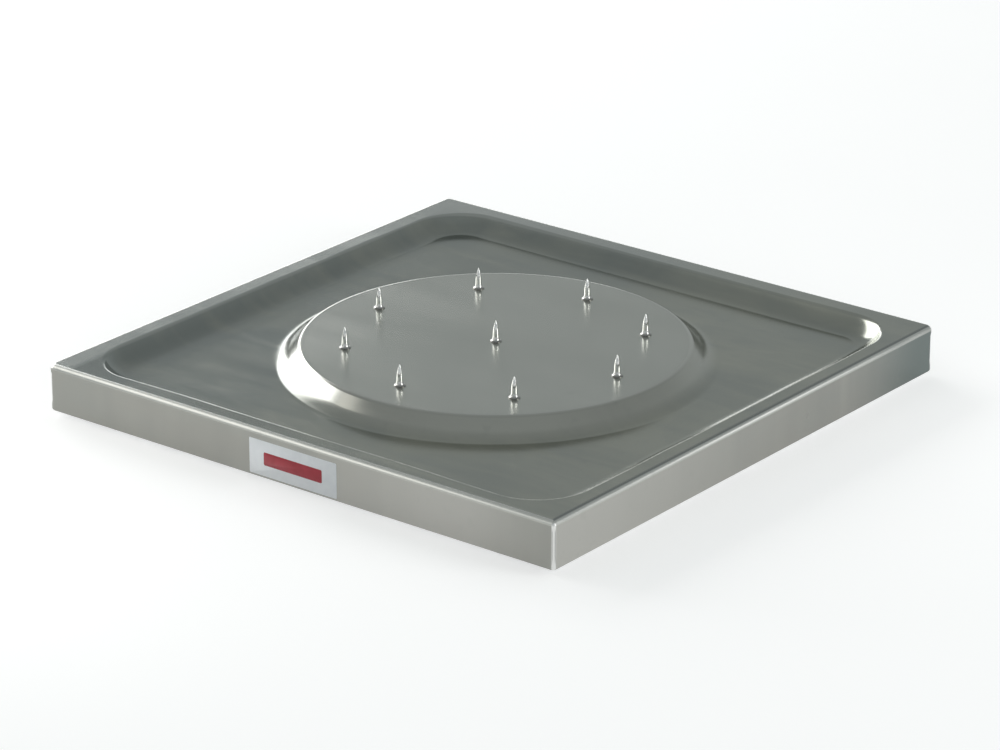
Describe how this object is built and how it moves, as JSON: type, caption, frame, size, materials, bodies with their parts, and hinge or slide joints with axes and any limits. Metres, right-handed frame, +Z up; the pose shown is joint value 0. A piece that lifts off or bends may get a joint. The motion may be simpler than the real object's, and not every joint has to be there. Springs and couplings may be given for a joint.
{
  "type": "heated carving station",
  "caption": "Low square stainless steel heated carving station with a sunken well, a raised round plateau and upright spikes that hold a joint of meat.",
  "frame": {"origin": "on the counter under the centre of the deck, in the plane of the four feet", "axes": "+Z up, -Y towards the label side, +X to the right as seen from the label side, controls on +Y"},
  "size_m": [0.61, 0.6271, 0.078],
  "materials": {
    "deck_steel": "pressed stainless steel sheet, satin with a soft polish",
    "polished_steel": "turned stainless steel, mirror polished",
    "zinc": "zinc plated steel",
    "aluminium": "rolled aluminium",
    "sheath": "oxidised steel sheath",
    "ceramic": "glazed ceramic",
    "wool": "mineral wool",
    "copper": "copper alloy",
    "black_plastic": "moulded black plastic",
    "rubber": "black rubber",
    "rocker_red": "translucent red plastic",
    "label_white": "white film with a plain red bar",
    "wire_brown": "brown insulation",
    "wire_blue": "blue insulation",
    "wire_green": "green and yellow insulation"
  },
  "bodies": {
    "station": {"top_deck": "deck_steel", "front_label": "label_white", "spike_centre": "polished_steel", "spike_washers": "zinc", "spike_nuts": "zinc", "heat_spreader": "aluminium", "inner_element": "sheath", "outer_element": "sheath", "element_clamps": "zinc", "clamp_screws": "zinc", "element_terminals": "ceramic", "element_jumpers": "copper", "insulation": "wool", "insulation_tray": "zinc", "tray_standoffs": "zinc", "tray_screws": "zinc", "thermal_cutout": "black_plastic", "sensing_bulb": "polished_steel", "bulb_clips": "zinc", "capillary_tube": "copper", "thermostat_body": "black_plastic", "thermostat_terminals": "copper", "thermostat_nut": "zinc", "dial_plate": "aluminium", "switch_housing": "black_plastic", "switch_terminals": "copper", "inlet_body": "black_plastic", "inlet_pins": "zinc", "inlet_screws": "zinc", "inlet_nuts": "zinc", "earth_stud": "copper", "earth_nuts": "zinc", "wire_live_inlet": "wire_brown", "wire_live_switch": "wire_brown", "wire_live_thermostat": "wire_brown", "wire_live_element": "wire_brown", "wire_neutral": "wire_blue", "wire_earth": "wire_green", "stiffener_left": "zinc", "stiffener_right": "zinc", "base_cover": "zinc", "base_screws": "zinc", "foot_front_left": "rubber", "foot_front_right": "rubber", "foot_rear_left": "rubber", "foot_rear_right": "rubber", "foot_screws": "zinc", "foot_nuts": "zinc", "spike_1": "polished_steel", "spike_2": "polished_steel", "spike_3": "polished_steel", "spike_4": "polished_steel", "spike_5": "polished_steel", "spike_6": "polished_steel", "spike_7": "polished_steel", "spike_8": "polished_steel"},
    "switch_rocker": {"switch_rocker": "rocker_red"},
    "thermostat_knob": {"thermostat_shaft": "zinc", "thermostat_knob": "black_plastic"}
  },
  "joints": [
    {"name": "switch_rock", "type": "hinge", "parent": "station", "child": "switch_rocker", "pos_m": [0.13, 0.3045, 0.026], "axis": [1, 0, 0], "range_deg": [0, 18]},
    {"name": "knob_turn", "type": "hinge", "parent": "station", "child": "thermostat_knob", "pos_m": [0.07, 0.305, 0.026], "axis": [0, -1, 0], "range_deg": [0, 270]}
  ]
}
